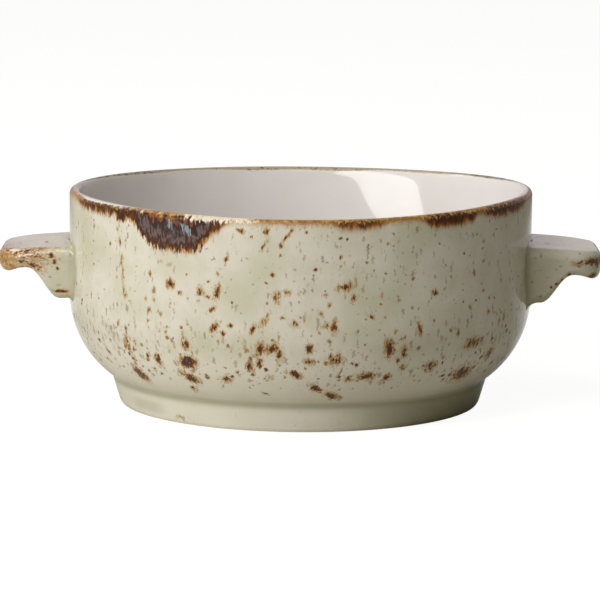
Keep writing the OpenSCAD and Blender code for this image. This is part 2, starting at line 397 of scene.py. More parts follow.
def makeReactiveGlaze():
    material, add = newMaterial("reactive stoneware glaze")
    names = ("spot", "rim", "crest", "burn", "pale", "poolAndShade", "speck", "crystal", "liner", "shade")
    field = {name: add("Attribute", attribute_name=name).outputs["Fac"] for name in names}
    vector = {"place": add("TexCoord").outputs["Object"],
              "flow": add("Attribute", attribute_name="flow").outputs["Vector"]}
    for name, stretch in reactive["stretch"].items():
        vector[name] = add("VectorMath", {0: vector["flow"], 1: stretch}, operation="MULTIPLY")
    noise = {}
    for name, (follows, size, detail, distortion) in reactive["noise"].items():
        noise[name] = add("TexNoise", {"Vector": vector[follows], "Scale": perSize(size),
                                       "Detail": detail, "Distortion": distortion})

    # the textures push the fields in and out, so that outlines are ragged and drip along the brown edge
    tear = {}
    for name, size in reactive["tear"].items():
        tear[name] = add("MapRange", {"Value": noise[name], "To Min": -size, "To Max": size,
                                      **reactive["tearRange"]}, clamp=False)
    edge = {}
    for name, (thin, burnt) in reactive["edge"].items():
        edge[name] = add("MapRange", {"Value": field["burn"], "To Min": thin, "To Max": burnt,
                                      **reactive["edgeRange"]})
    torn = add("Math", {0: tear["streaks"], 1: tear["strands"]}, operation="ADD")
    ragged = add("Math", {0: tear["streaks"], 1: tear["shreds"]}, operation="ADD")
    drip = add("Math", {0: torn, 1: edge["reach"]}, operation="MULTIPLY")
    pushes = {"spot": ragged, "rim": drip, "burn": tear["streaks"], "crest": torn, "crystal": torn,
              "liner": drip, "pale": noise["streaks"]}
    outline = {}
    for name, push in pushes.items():
        outline[name] = add("Math", {0: field[name], 1: push}, operation="ADD")
    products = {"mottle": (noise["streaks"], field["speck"]), "brown": (outline["rim"], edge["crisp"]),
                "spotTint": (outline["spot"], reactive["spotTint"])}
    for name, (one, other) in products.items():
        outline[name] = add("Math", {0: one, 1: other}, operation="MULTIPLY")
    outline["halo"] = outline["spot"]
    mark = {}
    for name, (begin, full, strength, rise) in reactive["marks"].items():
        mark[name] = add("MapRange", {"Value": outline[name], "From Min": begin, "From Max": full,
                                      "To Max": strength}, interpolation_type=rise)

    # colours: ramps over the depth of a mark, and flat ones
    depth = add("MapRange", {"Value": outline["rim"], "From Max": reactive["deepest"],
                             "To Max": edge["crisp"]})
    stirred = add("Math", {0: tear["streaks"], 1: edge["stir"], 2: depth}, operation="MULTIPLY_ADD")
    share, least = reactive["crestTint"]
    paleness = add("Math", {0: outline["pale"], 1: share, 2: least}, operation="MULTIPLY_ADD")
    ramps = {"clouds": noise["clouds"], "spot": outline["spotTint"], "brown": outline["rim"],
             "burn": stirred, "crest": paleness, "crystal": noise["strands"]}
    tint = {name: add("ValToRGB", {"Fac": at}, reactive[name]) for name, at in ramps.items()}
    tint.update({name: linear(reactive[name])
                 for name in ("mottle", "pale", "poolAndShade", "halo", "liner", "linerThin")})
    blends = ((mark["burn"], "brown", "burn"), (mark["crest"], "brown", "crest"),
              (field["shade"], "liner", "linerThin"))
    for amount, name, over in blends:
        tint[name] = add("Mix", {"Factor": amount, "A": tint[name], "B": tint[over]}, data_type="RGBA")

    # layers from the lowest up: faint strokes, pale places with painted light, green pools with painted
    # shade, dots and flecks, iron, rim, liner
    layers = [(mark["mottle"], tint["mottle"]), (field["pale"], tint["pale"]),
              (field["poolAndShade"], tint["poolAndShade"])]
    # dots and flecks are cells of random size, only some of them filled, bent by the grain
    middle = add("VectorMath", {0: noise["grain"].outputs["Color"], 1: (0.5, 0.5, 0.5)},
                 operation="SUBTRACT")
    bend = add("VectorMath", {0: middle, "Scale": reactive["dotBend"] * mm}, operation="SCALE")
    for follows, size, largest, rareness, strength, colours in reactive["dots"]:
        bent = add("VectorMath", {0: vector[follows], 1: bend}, operation="ADD")
        cells = add("TexVoronoi", {"Vector": bent, "Scale": perSize(size)})
        chance = add("SeparateColor", {"Color": cells.outputs["Color"]})
        rarely = add("Math", {0: chance, 1: rareness}, operation="POWER")
        filled = add("Math", {0: rarely, 1: largest}, operation="MULTIPLY")
        dense = add("Math", {0: filled, 1: field["speck"]}, operation="MULTIPLY")
        soft = add("Math", {0: dense, 1: reactive["dotEdge"]}, operation="SUBTRACT")
        dots = add("MapRange", {"Value": cells, "From Min": dense, "From Max": soft, "To Max": strength})
        layers.append((dots, add("ValToRGB", {"Fac": chance.outputs["Green"]}, reactive[colours])))
    layers += [(mark[name], tint[name]) for name in ("halo", "spot", "brown", "crystal", "liner")]
    colour = tint["clouds"]
    for amount, over in layers:
        colour = add("Mix", {"Factor": amount, "A": colour, "B": over}, data_type="RGBA")

    bump = add("Bump", {"Height": noise["ripple"], "Strength": reactive["bump"],
                        "Distance": reactive["bumpDepth"] * mm})
    unlined = add("Math", {0: 1.0, 1: mark["liner"]}, operation="SUBTRACT")
    dry = add("Math", {0: mark["brown"], 1: unlined}, operation="MULTIPLY")
    inputs = {"Base Color": colour, "IOR": reactive["refraction"], "Normal": bump}
    for name, (glossy, matt) in reactive["finish"].items():
        inputs[name] = add("MapRange", {"Value": dry, "To Min": glossy, "To Max": matt})
    add("OutputMaterial", {"Surface": add("BsdfPrincipled", inputs)})
    return material


# White liner glaze, poured inside: even, cool white glass with a high gloss
liner = {"tints": [(0.35, "#e0dad5"), (0.65, "#e6e1dd")], "cloudSize": 22.0, "grainSize": 18.0,
         "grainDetail": 0.0, "grainShare": 0.0, "bump": 0.05, "bumpDepth": 0.5, "roughness": 0.07,
         "refraction": 1.49}
# Fired stoneware without glaze: matt buff clay, with fine grit that shows where the foot was wiped
clay = {"tints": [(0.35, "#b9aa8e"), (0.62, "#d6cab3")], "cloudSize": 9.0, "grainSize": 0.5,
        "grainDetail": 3.0, "grainShare": 0.5, "bump": 0.35, "bumpDepth": 0.15, "roughness": 0.85,
        "refraction": 1.5}
# Slip that joins the lugs: the same clay, fired a little darker
slip = {**clay, "tints": [(0.35, "#a99b80"), (0.62, "#c9bda6")]}


def makePlainMaterial(name, look):
    material, add = newMaterial(name)
    place = add("TexCoord").outputs["Object"]
    clouds = add("TexNoise", {"Vector": place, "Scale": perSize(look["cloudSize"]), "Detail": 2.0})
    grain = add("TexNoise", {"Vector": place, "Scale": perSize(look["grainSize"]),
                             "Detail": look["grainDetail"]})
    mixed = add("Mix", {"Factor": look["grainShare"], "A": clouds, "B": grain})
    base = add("ValToRGB", {"Fac": mixed}, look["tints"])
    bump = add("Bump", {"Height": grain, "Strength": look["bump"], "Distance": look["bumpDepth"] * mm})
    shader = add("BsdfPrincipled", {"Base Color": base, "Roughness": look["roughness"],
                                    "IOR": look["refraction"], "Normal": bump})
    add("OutputMaterial", {"Surface": shader})
    return material


reactiveGlaze = makeReactiveGlaze()
linerGlaze = makePlainMaterial("white liner glaze", liner)
bareClay = makePlainMaterial("bare stoneware", clay)
fillerClay = makePlainMaterial("fired joining slip", slip)
print("materials made")

# marks of the outside glaze: azimuth from the front in degrees (right is positive), height in mm,
# half width and half length in mm, lean in degrees (top to the left is positive), depth of colour
ironSpots = [
    (-46.5, 13.6, 2.1, 3.2, 24, 1.15), (-28.4, 19.4, 2.8, 2.3, 0, 1.3), (-29, 14.8, 1.6, 3, 58, 1),
    (-28.1, 24.2, 1.3, 1.8, 20, 0.75), (-29.5, 11.4, 0.9, 1, 0, 0.6), (-37.4, 18.9, 1.1, 1.9, 15, 0.7),
    (-46.8, 21.6, 1, 2.4, 10, 0.65), (-9.4, 24, 1.5, 2.2, -20, 0.8), (-6.2, 24.6, 1.9, 1.4, 60, 0.85),
    (-4.8, 22.4, 1, 2.1, 0, 0.75), (-9.6, 20.6, 1, 2, -8, 0.8), (-12.2, 19.6, 1.1, 1.8, 0, 0.8),
    (-18.9, 15.3, 1.5, 1.3, 0, 0.75), (-1.1, 17.4, 1.1, 2.2, 62, 1), (-32.2, 39.6, 1.2, 1.4, 0, 0.8),
    (-19.8, 38.3, 0.9, 2, -18, 0.85), (-24.1, 38.4, 0.9, 1.2, 0, 0.7),
    (-20.4, 29.4, 0.9, 1.9, -42, 0.75), (-8.1, 31.9, 0.7, 2, -25, 0.7),
    (-10.8, 29.6, 0.7, 1.8, -40, 0.65), (-5.4, 38.1, 1, 1.5, 10, 0.65), (-1.1, 30.8, 1, 1.2, 30, 0.7),
    (2.2, 24.4, 1.2, 1.3, 10, 0.8), (2.4, 21, 1.4, 0.9, 0, 0.65), (8.4, 21.4, 2.3, 1.5, 0, 0.8),
    (8.8, 10.9, 1.4, 2.8, 55, 0.95), (4, 13.4, 1.1, 2.3, 52, 0.9), (10.7, 40.4, 1, 2.2, -72, 0.8),
    (12.4, 16, 1.1, 0.9, 0, 0.7), (17.1, 16.6, 2.9, 1.2, 0, 0.8), (22.4, 15.8, 1, 1.9, -40, 0.75),
    (21.8, 24.2, 1.5, 2.8, 10, 0.9), (25.7, 23, 1, 2, 0, 0.75), (26.3, 18.6, 1.1, 1, 0, 0.65),
    (33.6, 37.7, 1.1, 0.9, 0, 0.75), (34.3, 18, 2, 1.5, 20, 0.75), (47.2, 14.5, 4, 2.8, 0, 0.95),
    (47, 23, 3.2, 1.6, 0, 0.7), (55.7, 19, 1.5, 1.9, -20, 0.7), (8, 30.2, 0.9, 1.8, 0, 0.55),
    (29.5, 28.6, 0.7, 1.6, 10, 0.55),
]
# the finer dots, flecks and strokes between them, with half sizes and depth in hundredths
fineMarks = [
    (-60, 51, 45, 60, 0, 80), (-52.5, 47.5, 45, 55, 0, 85), (-48.5, 48.5, 40, 140, 10, 60),
    (-46.5, 48.5, 35, 90, 0, 50), (-49.5, 51.5, 40, 60, 0, 60), (-35, 45, 65, 50, 0, 50),
    (-32.5, 44.5, 55, 70, -20, 45), (-38, 42, 55, 90, -15, 45), (-46.5, 35, 45, 90, 0, 65),
    (-37, 37.5, 40, 65, 0, 50), (-37, 35, 40, 65, 0, 55), (-39.5, 35, 45, 60, 0, 55),
    (-29.5, 37.5, 60, 55, 0, 60), (-22, 41, 50, 50, 0, 85), (-24.5, 36, 50, 45, 0, 85),
    (-22, 37, 60, 50, 0, 70), (-21, 34, 45, 130, -58, 60), (-19.5, 43, 45, 70, 15, 70),
    (-17.5, 47, 45, 120, -12, 75), (-16, 36, 45, 45, 0, 85), (-38.5, 32, 45, 90, -20, 60),
    (-35, 31.5, 50, 50, 0, 60), (-38.5, 29.5, 45, 45, 0, 85), (-49, 27.5, 45, 100, -25, 55),
    (-33.5, 27, 45, 65, 0, 65), (-48, 21, 45, 70, 0, 70), (-45, 21, 40, 75, 0, 70),
    (-46.5, 18, 65, 65, 0, 70), (-37, 20, 55, 110, 25, 80), (-16.5, 30, 70, 45, 0, 60),
    (-18, 28, 80, 50, -30, 50), (-17, 24.5, 60, 55, 0, 65), (-12.5, 24, 65, 75, 0, 70),
    (-15.5, 17.5, 50, 45, 0, 85), (-9, 11.5, 90, 40, -20, 60), (-4, 32.5, 70, 40, 0, 65),
    (-6.5, 43.5, 50, 55, 0, 65), (-3, 39, 80, 65, 0, 50), (-4.5, 48.5, 45, 45, 0, 85),
    (-4.5, 51, 45, 65, 0, 65), (-3.5, 53, 40, 130, -35, 60), (-8.5, 51, 35, 130, -28, 50),
    (-14, 54.5, 110, 70, 0, 75), (-8, 54.5, 90, 100, 0, 50), (-2, 55, 55, 60, 0, 75),
    (-11.5, 53, 45, 45, 0, 75), (1.5, 54.5, 50, 45, 0, 95), (9.5, 48, 45, 65, 0, 70),
    (3.5, 45, 40, 40, 0, 90), (6, 38.5, 60, 50, 0, 60), (7, 36, 50, 75, 0, 65),
    (5, 33.5, 45, 90, 15, 65), (1, 32, 45, 65, 0, 65), (6, 30.5, 110, 60, 0, 60),
    (8.5, 30, 55, 90, 0, 75), (7, 26.5, 65, 65, 0, 65), (13, 42, 40, 100, 8, 60),
    (21, 51, 55, 50, 0, 65), (19.5, 38, 45, 90, 0, 60), (12.5, 37.5, 65, 90, 0, 45),
    (17, 32.5, 100, 55, -25, 55), (23, 28.5, 55, 55, 0, 55), (25, 26.5, 45, 100, -70, 60),
    (45, 33, 50, 65, 0, 55), (52, 31, 65, 75, 0, 55), (59, 28.5, 70, 90, 0, 50),
    (38.5, 27.5, 65, 50, 0, 50), (41, 26.5, 50, 65, 0, 50), (59.5, 13.5, 40, 75, -25, 65),
    (33.5, 30.5, 45, 45, 0, 65), (14, 20, 80, 50, 0, 55), (1.5, 19, 50, 40, 0, 75),
    (10, 18, 40, 140, -20, 60), (24.5, 20.5, 70, 80, 0, 65), (49.5, 49, 55, 55, 0, 60),
    (-48, 43.5, 35, 130, 0, 45), (-47.5, 40, 40, 170, 0, 50), (-47, 36.5, 35, 120, 0, 40),
]
fineMarks = (np.array(fineMarks) / [1, 1, 100, 100, 1, 100]).tolist()
# deeper and shallower places of the brown edge: azimuth, half width in degrees, extra depth in mm
rimRuns = [(-58, 12, 1.7), (-45, 5, 1.4), (-31, 12, 4.6), (-31.5, 8.8, 3.8), (14, 6, 1.3), (39, 8, 2.3),
           (61, 11, 2.0), (112, 9, 1.4), (151, 7, 3.2), (163, 8, 1.5), (-128, 10, 2.4), (-170, 9, 0.7)]
# two blue crystals in the run at the left front, and a rusty touch on the foot
crystals = [(-32.6, 54.4, 1.1, 1.8, 30, 1.0), (-28.0, 53.8, 1.25, 2.4, 35, 1.0)]
footMark = (-38.8, 2.0, 0.9, 0.4, 0, 0.30)

# loose spots on the sides and the back, thicker on the lower belly, so that the back is like the front:
# limits of azimuth, half width, length to width, lean and depth, and the share of larger ones
loose = {"count": 150, "turn": (76, 284), "lowest": 10, "heights": 42, "crowding": (0.9, 2.2),
         "size": (0.7, 1.5), "largeShare": 0.14, "larger": 1.8, "length": (0.8, 1.9), "lean": (-35, 45),
         "depth": (0.45, 0.95)}
count = loose["count"]
looseTurn = rng.uniform(*loose["turn"], count)
looseHeight = loose["lowest"] + loose["heights"] * rng.beta(*loose["crowding"], count)
looseSize = rng.uniform(*loose["size"], count)
looseSize *= np.where(rng.random(count) < loose["largeShare"], loose["larger"], 1)
looseLength = looseSize * rng.uniform(*loose["length"], count)
looseLean = rng.uniform(*loose["lean"], count)
looseDepth = rng.uniform(*loose["depth"], count)
looseSpots = list(zip(looseTurn, looseHeight, looseSize, looseLength, looseLean, looseDepth))


def turnFromFront(points):
    return np.degrees(np.arctan2(points[:, 0], -points[:, 1]))


def turnGap(a, b):
    return (a - b + 180) % 360 - 180


noSpot = -0.9  # value of a field away from its spots
spotReach = 14  # degrees round the bowl that a spot may reach
spotGain = 1.2


# field of soft oval spots: each falls from its depth at the centre to nought at its outline,
# measured along the surface, and the strongest spot counts
def spotField(turn, radius, along, spots, alongAt):
    field = np.full(len(turn), noSpot)
    for azimuth, height, halfWidth, halfLength, lean, depth in spots:
        near = np.flatnonzero(np.abs(turnGap(turn, azimuth)) < spotReach)
        across = np.radians(turnGap(turn[near], azimuth)) * radius[near]
        down = along[near] - alongAt(height)
        c, s = toward(lean)
        u = (across * c - down * s) / halfWidth
        v = (across * s + down * c) / halfLength
        field[near] = np.maximum(field[near], depth * spotGain * (1 - np.hypot(u, v)))
    return field


# how the outside glaze varies: terms of each field, over degrees from the front (turn, or away for either
# way round), height and way along from the crest of the lip in mm, and depth of the brown edge
nearLip = (ramp, "along", 6, -3)
sides = (ramp, "away", 84, 24)
thinPlaceAndHighlight = (hump, "turn", -20, 9)
burnt = (ramp, "depth", 2.6, 1.4)
wallTerms = {
    "crest": [(0.5, thinPlaceAndHighlight), (0.7, sides)],
    "burn": [(1, burnt), (0.7, burnt, (hump, "turn", -53, 15)), (1, (ramp, "depth", 5, 3))],
    # lighter places: paler glaze and a painted highlight at the thin place on the front lip, darker near
    # the lip at the sides and back, painted light over the foot under the crease, most towards the key
    # light at the left, and a painted light band over the lower belly
    "pale": [(0.6, nearLip, thinPlaceAndHighlight), (-0.36, nearLip, sides), (-0.30, nearLip, (hump, "away", 112, 26)),
             (0.75, (ramp, "height", bowl["creaseHeight"], -1.5), (swell, "turn", -40)),
             (0.95, (hump, "height", 15, 7))],
    "speck": [(0.35, (ramp, "height", 40, -28), (ramp, "height", 9, 4))],
}
wallGlaze = {"speck": 0.55, "speckFrom": (9, 7), "patch": 0.2, "patchesRound": 3, "patchTurn": 40,
             "patchPerMm": 0.16, "patchRise": 1, "edgeDepth": 2.3, "edgeFall": 4.0, "crestFall": 1.7,
             "drawnOut": -0.42}


# depth of the brown edge round the rim, in mm along the surface from the crest of the lip:
# an even depth plus a flat hump for each run
def edgeDepth(turn):
    runs = sum(extra * hump(turnGap(turn, azimuth), 0, half, 6) for azimuth, half, extra in rimRuns)
    return wallGlaze["edgeDepth"] + runs


# fields of the glaze on turned surfaces, where along is the way from the crest of the lip
def glazeFields(points, along, alongAt, poolAndShade):
    x, y, z = points.T
    turn = turnFromFront(points)
    radius = np.hypot(x, y)
    depth = edgeDepth(turn)
    at = {"turn": turn, "away": np.abs(turn), "height": z, "along": along, "depth": depth}
    fields = {name: sumOf(terms, at) for name, terms in wallTerms.items()}
    fields["crest"] += 1 - along / wallGlaze["crestFall"]
    patch = np.sin(np.radians(turn * wallGlaze["patchesRound"] + wallGlaze["patchTurn"]))
    patch = 0.5 + 0.5 * patch * np.sin(z * wallGlaze["patchPerMm"] + wallGlaze["patchRise"])
    fields["speck"] += wallGlaze["speck"] + wallGlaze["patch"] * patch
    fields["speck"] *= ramp(z, *wallGlaze["speckFrom"])
    fields["flow"] = np.stack([x, y, wallGlaze["drawnOut"] * along], 1) * mm
    fields["rim"] = (depth - along) / wallGlaze["edgeFall"]
    for name, spots in (("spot", ironSpots + fineMarks + looseSpots + [footMark]), ("crystal", crystals)):
        fields[name] = spotField(turn, radius, along, spots, alongAt)
    fields["poolAndShade"] = poolAndShade
    fields["liner"] = np.full(len(points), -1.0)
    return fields


# fields of a coat that has only the glaze's own flecks
def plainFields(points, speck):
    none = np.zeros(len(points))
    fields = {name: none - 1 for name in ("spot", "rim", "crest", "crystal", "liner")}
    fields.update({"burn": none, "pale": none, "poolAndShade": none, "speck": none + speck, "flow": points * mm})
    return fields


# outside coat: the outer curve up to the brown edge and the clay side back down, turned as a closed
# shell with closer steps round the front, where the finest marks are
outside = {"front": 460, "back": 160, "up": 140, "clayStep": 10.0}
outsideTurns = np.concatenate([np.linspace(-pi, 0, outside["front"], endpoint=False),
                               np.linspace(0, pi, outside["back"], endpoint=False)])
outerLine = evenly(np.vstack([outsideCurve(0, -bowl["glazeLine"]), bandOutside(0)]), outside["up"])
clayLine = np.vstack([outsideCurve(glaze, -bowl["glazeLine"], outside["clayStep"]), bandOutside(glaze)])
edgeStart = bowl["lipRadius"] * radians(90 - wallTurn) + bowl["outerBand"]
outerAlong = edgeStart + wayAlong(outerLine[::-1])[::-1]


def alongAtHeight(height):
    return np.interp(height, outerLine[:, 1], outerAlong)


# green pools with painted shade: pooled glaze and painted shade along the crease, thinner at the right;
# pooled glaze and painted shade in a ring round each lug; painted shade over the right of the foot, on
# the side away from the key light, most at its low edge by the floor; and one stain on the left of the foot
crease = (hump, "crease", 0, 1.1, 2)
shadedRightFoot = ((ramp, "height", bowl["creaseHeight"] + 1, -2), (ramp, "turn", 5, 45),
             (ramp, "turn", 130, -40))
poolsAndShade = {
    "terms": [(0.6, crease), (-0.42, crease, (ramp, "turn", 5, 30)), (0.5, (hump, "lug", 1, 0.12, 2)),
              (0.66, *shadedRightFoot), (0.34, *shadedRightFoot, (ramp, "height", 2, -2)),
              (0.3, (hump, "turn", -54, 8), (hump, "height", 3.4, 1.7))],
    "creaseLower": 0.6, "lugTurn": 90, "lugHalfTurn": 16.5, "lugHeight": 37, "lugHalfHeight": 8.5,
}
points, faces = turned(np.vstack([outerLine, clayLine[::-1]]), outsideTurns, True)
along = np.tile(np.concatenate([outerAlong, np.full(len(clayLine), outerAlong[0])]), len(outsideTurns))
x, y, z = points.T
turn = turnFromFront(points)
creaseMiddle = creaseC + bowl["creaseRound"] * toward((180 - footLean + heading(bellyC - creaseC)) / 2)
creaseGap = np.hypot(np.hypot(x, y) - creaseMiddle[0], z - creaseMiddle[1] + poolsAndShade["creaseLower"])
lugGap = np.hypot((np.abs(turn) - poolsAndShade["lugTurn"]) / poolsAndShade["lugHalfTurn"],
                  (z - poolsAndShade["lugHeight"]) / poolsAndShade["lugHalfHeight"])
poolAndShade = sumOf(poolsAndShade["terms"], {"turn": turn, "height": z, "crease": creaseGap, "lug": lugGap})
addPiece("outside_coat", points, faces, glazeFields(points, along, alongAtHeight, poolAndShade),
         reactiveGlaze, "outside_glaze")
print("outside coat made")

# brown edge: over the lip from the outside band to the inside band, turned as a closed shell
edgeCoat = {"around": 620, "over": 44, "clayOver": 10}
# the white begins about at the crest at the front, a little outside it at the sides, further out over the
# lip at the left front and a little out just left of the front, where white run over the lip also paints in
# highlights on the lip, and inside it at the back: terms of the mm inside the crest, and a wave
whiteEdge = {
    "terms": [(0.1,), (-0.3, (ramp, "away", 30, 40)), (1.5, (ramp, "away", 82, 46)),
              (0.4, (ramp, "away", 156, 16)), (-0.3, (hump, "away", 79, 11)),
              (-1.0, (hump, "turn", -57, 12)), (-0.3, (hump, "turn", -14, 9))],
    # grey: the liner is painted darker at the far left of the lip, painted shade there
    "grey": [(0.65, (hump, "turn", -85, 15))],
    "wave": 0.12, "waves": 13, "waveTurn": 50, "soft": 1.1,
}


def lipLine(inset, count):
    return evenly(np.vstack([bandOutside(inset), lipCurve(inset), bandInside(inset)]), count)


overLine = lipLine(0, edgeCoat["over"])
underLine = lipLine(glaze, edgeCoat["clayOver"])
points, faces = turned(np.vstack([overLine, underLine[::-1]]), evenTurns(edgeCoat["around"]), True)
along = np.concatenate([edgeStart - wayAlong(overLine), np.zeros(edgeCoat["clayOver"])])
along = np.tile(along, edgeCoat["around"])
turn = turnFromFront(points)
at = {"turn": turn, "away": np.abs(turn)}
wave = whiteEdge["wave"] * np.sin(np.radians(turn * whiteEdge["waves"] + whiteEdge["waveTurn"]))
whiteFrom = sumOf(whiteEdge["terms"], at) + wave
fields = glazeFields(points, np.abs(along), alongAtHeight, np.zeros(len(points)))
fields["shade"] = sumOf(whiteEdge["grey"], at)
fields["liner"] = np.maximum(0.5 + (-along - whiteFrom) / whiteEdge["soft"], -1)
fields["spot"][along < 0] = noSpot
fields["crystal"][along < 0] = noSpot
addPiece("rim_coat", points, faces, fields, reactiveGlaze, "rim_glaze")


# a turned coat that ends on the axis: its face, its clay side turned over, and a rim of quads between them
def turnedShell(line, backLine, around):
    points, faces = turned(line, evenTurns(around), False)
    backPoints, backFaces = turned(backLine, evenTurns(around), False)
    shift = len(points)
    flipped = [[k + shift for k in face[::-1]] for face in backFaces]
    front = np.arange(around) * (len(line) - 1)
    back = np.arange(around) * (len(backLine) - 1) + shift
    rim = np.stack([np.roll(front, -1), front, back, np.roll(back, -1)], 1)
    return np.vstack([points, backPoints]), faces + flipped + rim.tolist()


# line of the inside from the brown edge to the middle of the floor: it stands in from the plain wall
# by the sum of the slopes over u, the part of the depth that is passed
def insideLine(inset, count):
    floor = [0, bowl["floorHeight"] - inset]
    line = evenly(np.vstack([bandInside(inset), insideCurve(inset), floor]), count, inside["lead"])
    u = np.clip((line[0, 1] - line[:, 1]) / inside["depth"], 0, 1)
    wall = inside["lean"] - inside["straighten"] * u - inside["turnIn"] * u ** 4
    slope = wall * (1 - ease((u - inside["slopeEnd"]) / inside["slopeFade"]))
    slope += inside["lipLean"] * np.exp(-u / inside["lipPart"])
    moved = np.concatenate([[0], np.cumsum((slope[1:] + slope[:-1]) / 2 * np.diff(u))])
    line[:, 0] -= inside["depth"] * moved * (1 - ease((u - inside["backFrom"]) / (1 - inside["backFrom"])))
    return line


points, faces = turnedShell(insideLine(0, inside["down"]), insideLine(glaze, inside["clayDown"]),
                            inside["around"])
addPiece("inside_coat", points, faces, {}, linerGlaze, "inside_glaze")
print("rim and inside coats made")

# coat under the base: the hollow inside the foot ring, from the bare ring in to the middle
hollow = {"around": 240, "out": 60, "clayOut": 40, "speck": 0.4}


def hollowLine(inset, count):
    middle = [0, bowl["hollowHeight"] + inset]
    return evenly(np.vstack([middle, hollowCurve(inset, 180 + bowl["glazeLine"])]), count)[::-1]


points, faces = turnedShell(hollowLine(0, hollow["out"]), hollowLine(glaze, hollow["clayOut"]),
                            hollow["around"])
addPiece("base_coat", points, [face[::-1] for face in faces], plainFields(points, hollow["speck"]),
         reactiveGlaze, "base_glaze")

# clay bowl: the whole section under the glaze, seen only at the bare ring that it stands on
body = {"around": 240, "outside": 90, "inside": 90, "hollow": 40}
clayProfile = np.vstack([
    evenly(outsideCurve(glaze, -90), body["outside"]),
    lipCurve(glaze),
    insideLine(glaze, body["inside"]),
])
clayUnder = np.vstack([
    [0, bowl["hollowHeight"] + glaze],
    evenly(hollowCurve(glaze, 270), body["hollow"]),
])
points, faces = turnedShell(clayProfile, clayUnder[::-1], body["around"])
addPiece("clay_body", points, faces, {}, bareClay, "bowl_body")
print("base coat and clay body made")

# lugs in mm: a thick flat tab with a bracket under its root and a small bead under its tip;
# the right one sits a little higher and is a little thicker, as hand fitting leaves it
lug = {
    "reach": lugHigh.x / mm, "rootWidth": 34.0, "tipWidth": 33.0, "corner": 11.0, "top": 43.7,
    "drop": 1.45, "rootHeight": 13.9, "gripThickness": 5.05, "tipThickness": 6.65, "bead": 7.5,
    "toe": 2.4, "bracket": 12.0, "topEdge": 2.3, "underEdge": 2.4, "draft": 0.8, "fillet": 1.1,
    "inWall": 1.2, "slip": 1.8, "bracketBend": 1.3, "tipUnder": 1.6, "straightFrom": 9.0,
    "stations": 150, "slipStations": 16, "edgeSteps": 12, "acrossSteps": 36, "sideSteps": 12,
}
# green shares: pooled green glaze with painted shade towards the root, more on the right lug, away from the
# key light
lugSides = {
    "left": {"sign": -1, "lift": 0.0, "thicker": 0.0, "deeper": 0.0, "underFillet": 1.5, "green": 0.2,
             "ochre": 1.05},
    "right": {"sign": 1, "lift": 0.35, "thicker": 1.3, "deeper": 0.6, "underFillet": 2.8, "green": 0.42,
              "ochre": 0.8},
}


def wallRadius(z):
    return np.interp(z, outerLine[:, 1], outerLine[:, 0])


# other leg of a right triangle, nought where the first leg is longer than the radius
def leg(radius, first):
    return np.sqrt(np.maximum(radius ** 2 - first ** 2, 0))


# surface of a lug: closed sections carried out from the wall, one for each place x. A section is a
# rectangle with rounded corners; near the wall it bends to the wall's round and grows by a hollow
# fillet, and at the tip its width and height shrink by the plan's corner and the edges' rounds
def lugSurface(x, inset, fillets, fit):
    wall = bellyRadius
    x = x[:, None]
    reach = lug["reach"] - inset
    out = np.clip((x - wall) / (lug["reach"] - wall), 0, 1)
    cornerX = lug["reach"] - lug["corner"]
    cornerY = lug["tipWidth"] / 2 - lug["corner"]
    taper = (lug["tipWidth"] - lug["rootWidth"]) * ease((x - wall) / (cornerX - wall))
    side = (lug["rootWidth"] + taper) / 2
    corner = leg(lug["corner"] - inset, np.maximum(x - cornerX, 0))
    half = np.where(x > cornerX, cornerY + corner, side - inset)
    grow, growUnder = (r - leg(r, np.clip(r - x + wall, 0, r)) for r in fillets)
    along = np.clip((x - wall - lug["toe"]) / (lug["bracket"] - lug["toe"]), 0, 1)
    bent = 1 - (1 - along) ** lug["bracketBend"]
    toGrip = bent ** 3 * (10 - 15 * bent + 6 * bent ** 2)
    toBead = ease((x - reach + lug["bead"]) / lug["bead"])
    root = lug["rootHeight"] + fit["deeper"]
    thickness = (root + (lug["gripThickness"] + fit["thicker"] - root) * toGrip
                 + (lug["tipThickness"] - lug["gripThickness"]) * toBead)
    ridge = lug["top"] + fit["lift"] - lug["drop"] * out
    topRound, lowRound = lug["topEdge"], lug["underEdge"] * lug["tipUnder"]
    tipTop = leg(topRound, np.clip(x - (reach - topRound), 0, topRound))
    tipLow = leg(lowRound, np.clip(x - (reach - lowRound), 0, lowRound))
    top = ridge - inset - topRound + tipTop + grow
    low = ridge - thickness + inset + lowRound - tipLow - growUnder
    half = half + grow
    lowHalf = half - lug["draft"] * thickness / lug["rootHeight"]
    room = (top - low) / 2
    topR = np.minimum(lug["topEdge"] + grow, room)
    lowR = np.minimum(lug["underEdge"] + grow, room)
    up = np.radians(np.linspace(0, 90, lug["edgeSteps"]))[None, :]
    across = np.linspace(1, -1, lug["acrossSteps"] + 2)[None, 1:-1]
    downSide = np.linspace(0, 1, lug["sideSteps"] + 2)[None, 1:-1]
    rightTopY, rightTopZ = half - topR + topR * np.cos(up), top - topR + topR * np.sin(up)
    rightLowY, rightLowZ = lowHalf - lowR + lowR * np.sin(up), low + lowR - lowR * np.cos(up)
    flatTopY, flatLowY = (half - topR) * across, -(lowHalf - lowR) * across
    leftSideY = -(half + (lowHalf - half) * downSide)
    leftSideZ = top - topR + (low + lowR - top + topR) * downSide
    y = np.concatenate([rightTopY, flatTopY, -rightTopY[:, ::-1], leftSideY, -rightLowY[:, ::-1], flatLowY,
                        rightLowY, -leftSideY[:, ::-1]], 1)
    z = np.concatenate([rightTopZ, top + 0 * across, rightTopZ[:, ::-1], leftSideZ, rightLowZ[:, ::-1],
                        low + 0 * across, rightLowZ, leftSideZ[:, ::-1]], 1)
    bend = 1 - ease((x - wall) / lug["straightFrom"])
    ring = x + (wallRadius(z) - wall) * bend
    return np.stack([ring - (ring - leg(ring, y)) * bend, y, z], 2)


